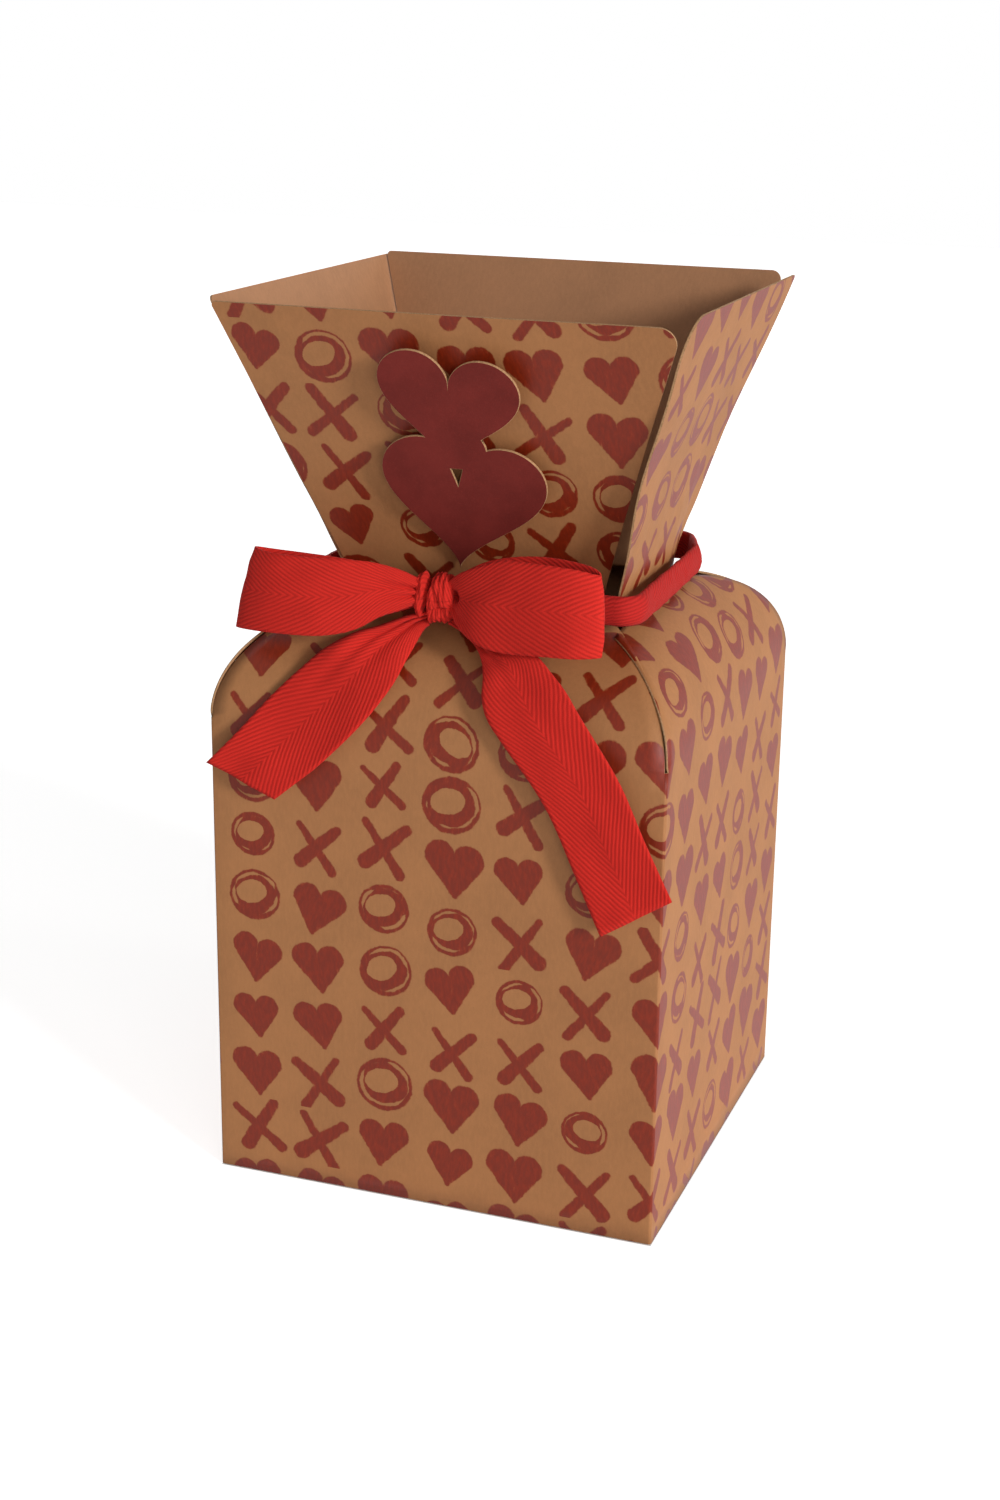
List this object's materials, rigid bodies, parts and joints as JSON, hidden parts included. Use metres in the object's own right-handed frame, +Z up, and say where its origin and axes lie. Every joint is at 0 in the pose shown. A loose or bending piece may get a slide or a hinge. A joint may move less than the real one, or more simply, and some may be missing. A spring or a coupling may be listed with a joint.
{
  "type": "bouquet box",
  "caption": "Tall square kraft card box whose walls curve in to a tied neck and flare out as a collar, with a tape bow and a slip-in heart tag.",
  "frame": {"origin": "middle of the closed base, on the surface that the box stands on", "axes": "+Z up; the front with the bow faces -Y; the right side as seen from the front is +X"},
  "size_m": [0.1431, 0.1467, 0.2692],
  "materials": {
    "kraft_card": "printed kraft, satin",
    "kraft_inside": "plain kraft, matt",
    "twill_tape": "herringbone twill, matt",
    "tag_board": "coloured board, satin"
  },
  "bodies": {
    "body": {"front_wall": "kraft_card", "right_wall": "kraft_card", "back_wall": "kraft_card", "left_wall": "kraft_card", "seam_flap": "kraft_inside", "base_flap_left": "kraft_inside", "base_flap_right": "kraft_inside", "base_flap_back": "kraft_inside", "ribbon_neck_band": "twill_tape", "ribbon_knot": "twill_tape", "bow_loop_left": "twill_tape", "bow_loop_right": "twill_tape"},
    "front_collar": {"collar_front": "kraft_card"},
    "right_collar": {"collar_right": "kraft_card"},
    "back_collar": {"collar_back": "kraft_card"},
    "left_collar": {"collar_left": "kraft_card"},
    "tag": {"heart_tag": "tag_board"},
    "front_flap": {"base_flap_front": "kraft_card"},
    "left_tail": {"ribbon_tail_left": "twill_tape"},
    "right_tail": {"ribbon_tail_right": "twill_tape"}
  },
  "joints": [
    {"name": "front_collar_crease", "type": "hinge", "parent": "body", "child": "front_collar", "pos_m": [0, -0.032, 0.1788], "axis": [1, 0, 0], "range_deg": [-40, 8]},
    {"name": "right_collar_crease", "type": "hinge", "parent": "body", "child": "right_collar", "pos_m": [0.046, 0, 0.18], "axis": [0, 1, 0], "range_deg": [0, 4]},
    {"name": "back_collar_crease", "type": "hinge", "parent": "body", "child": "back_collar", "pos_m": [0, 0.032, 0.1788], "axis": [-1, 0, 0], "range_deg": [-40, 3]},
    {"name": "left_collar_crease", "type": "hinge", "parent": "body", "child": "left_collar", "pos_m": [-0.0395, 0, 0.18], "axis": [0, -1, 0], "range_deg": [0, 4]},
    {"name": "tag_pull", "type": "slide", "parent": "front_collar", "child": "tag", "axis": [0, -0.4293, 0.9032], "range_m": [0, 0.07]},
    {"name": "base_flap_open", "type": "hinge", "parent": "body", "child": "front_flap", "pos_m": [0, -0.0691, 0], "axis": [-1, 0, 0], "range_deg": [0, 90]},
    {"name": "left_tail_lift", "type": "hinge", "parent": "body", "child": "left_tail", "pos_m": [-0.0027, -0.05538, 0.1765], "axis": [-0.7071, 0, 0.7071], "range_deg": [0, 45]},
    {"name": "right_tail_lift", "type": "hinge", "parent": "body", "child": "right_tail", "pos_m": [-0.0027, -0.05538, 0.1765], "axis": [-0.8, 0, -0.6], "range_deg": [0, 45]}
  ]
}
